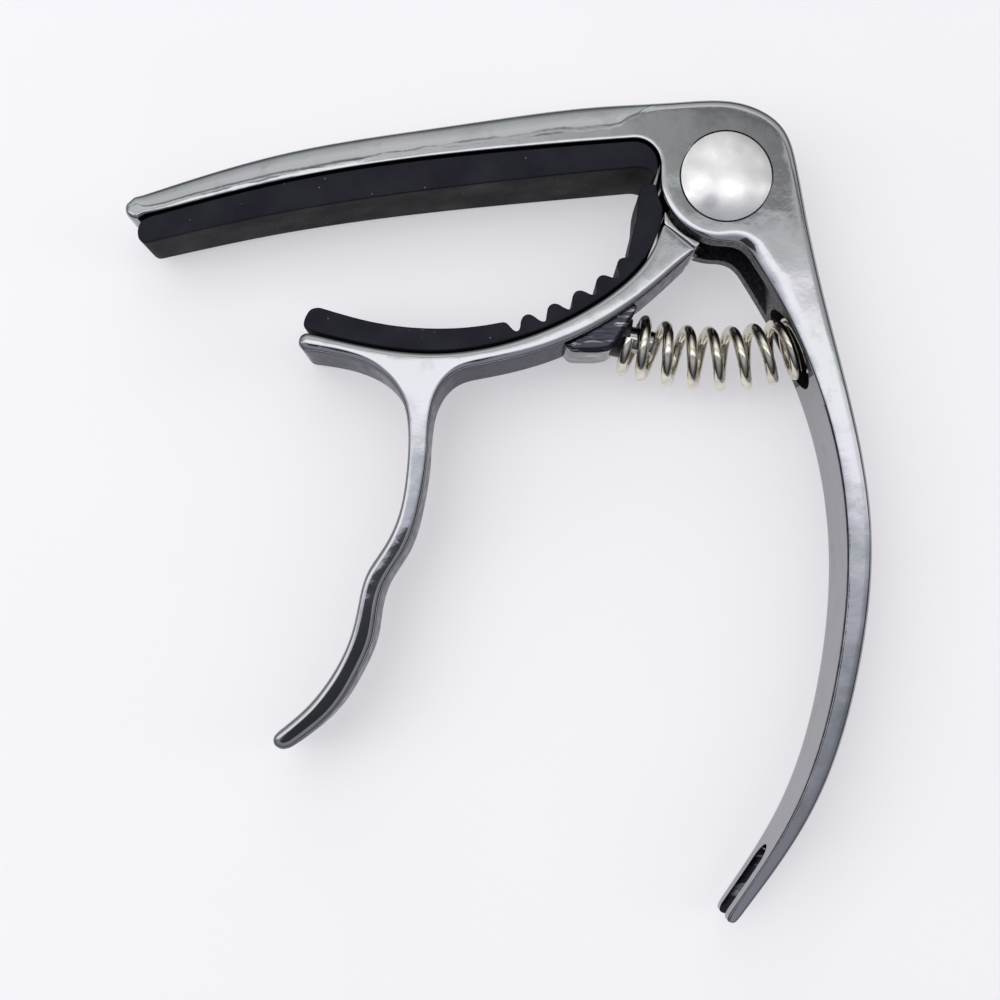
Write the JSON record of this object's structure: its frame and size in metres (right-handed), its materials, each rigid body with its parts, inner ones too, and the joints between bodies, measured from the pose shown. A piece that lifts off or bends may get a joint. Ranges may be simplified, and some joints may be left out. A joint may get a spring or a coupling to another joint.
{
  "type": "guitar capo",
  "caption": "Trigger-style guitar capo: sprung jaw with curved toothed rubber pad closes on a long padded arm; squeezing the trigger against the rear handle opens it.",
  "frame": {"origin": "middle of the bounding box at the back face: the capo lies on its back as in use on a table, +Z up", "axes": "+Z along the pivot axis, out of the domed cap; +Y along the handle's length, from its tip towards the pivot; +X from the free ends of the arm and the jaw towards the pivot"},
  "size_m": [0.085, 0.0932, 0.0127],
  "materials": {
    "black_chrome": "black chrome plating on polished zinc die casting, mirror gloss",
    "black_rubber": "matte black silicone rubber",
    "satin_nickel": "satin spun nickel plating",
    "nickel_screw": "satin nickel plating",
    "washer_steel": "plain thin steel washer",
    "spring_nickel": "bright nickel-plated spring wire, slightly warm"
  },
  "bodies": {
    "arm": {"arm_and_handle": "black_chrome", "string_pad": "black_rubber", "pivot_barrel": "satin_nickel", "pivot_screw": "nickel_screw", "washer_front": "washer_steel", "washer_back": "washer_steel", "spring": "spring_nickel"},
    "jaw": {"jaw_and_trigger": "black_chrome", "neck_pad": "black_rubber"}
  },
  "joints": [
    {"name": "jaw_hinge", "type": "hinge", "parent": "arm", "child": "jaw", "pos_m": [0.02616, 0.03716, 0.006], "axis": [0, 0, 1], "range_deg": [0, 22], "stiffness_Nm_per_rad": 4.9, "springref_deg": -11.46, "deforming": ["spring"]}
  ]
}
